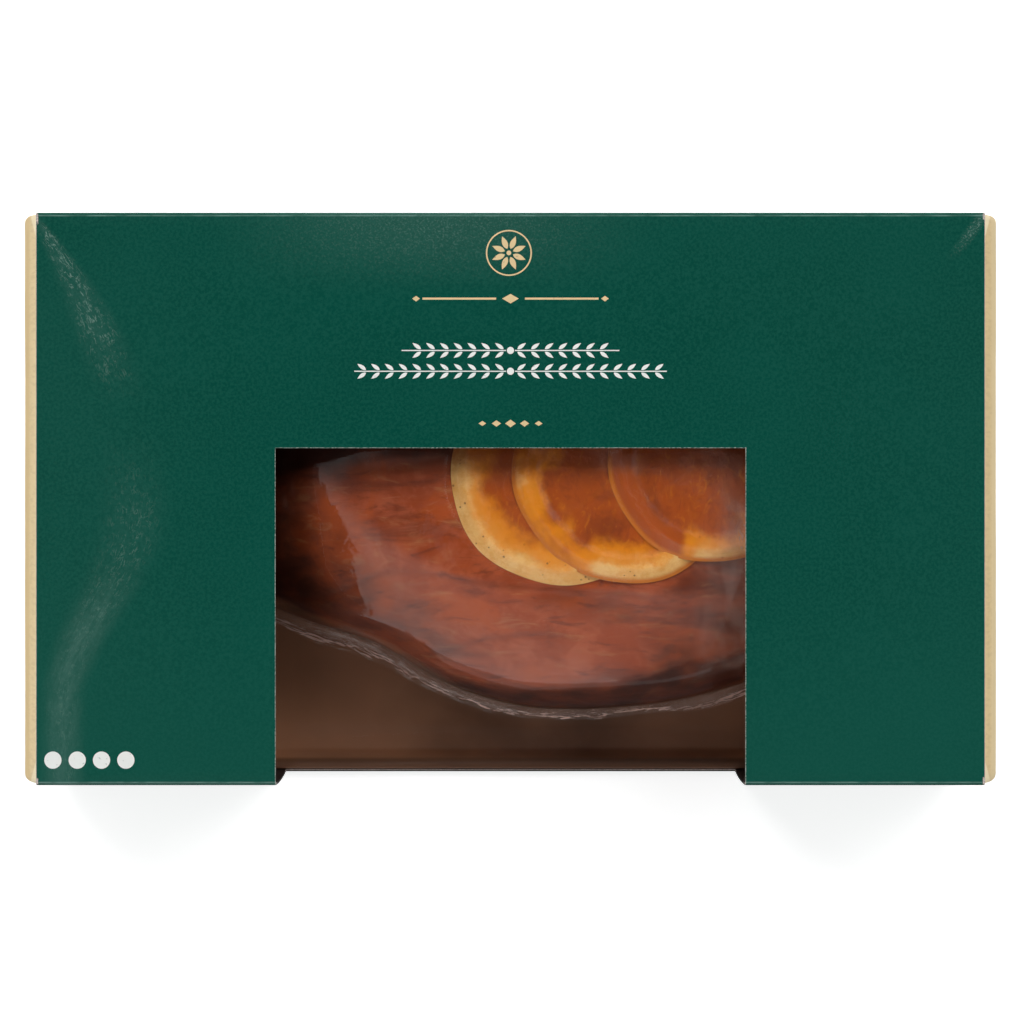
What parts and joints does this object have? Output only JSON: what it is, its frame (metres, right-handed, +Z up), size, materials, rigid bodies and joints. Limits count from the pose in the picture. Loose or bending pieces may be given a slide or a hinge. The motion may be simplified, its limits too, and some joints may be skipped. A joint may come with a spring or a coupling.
{
  "type": "glazed ham joint in a windowed carton",
  "caption": "Glazed ham joint with orange slices under clear film on a shallow tray, in a shut board carton with bowed ends and a window cut through its top and front.",
  "frame": {"origin": "centre of the carton's underside, on the surface it rests on", "axes": "+X along the long side to the right, +Y away from the windowed wall, +Z up through the windowed top"},
  "size_m": [0.3096, 0.179, 0.088],
  "materials": {
    "board_green": "gloss laminated",
    "board_gold": "satin gold",
    "board_edge": "rough cut",
    "board_inside": "matte",
    "print_gold": "satin",
    "print_white": "satin",
    "tray_brown": "gloss",
    "ham_glazed": "moist glaze",
    "orange_flesh": "moist",
    "orange_pith": "moist",
    "film_clear": "gloss"
  },
  "bodies": {
    "root": {"carton": "board_green", "tray": "tray_brown", "ham": "ham_glazed", "orange_slice_1": "orange_flesh", "orange_slice_2": "orange_flesh", "orange_slice_3": "orange_flesh", "film": "film_clear"}
  },
  "joints": []
}
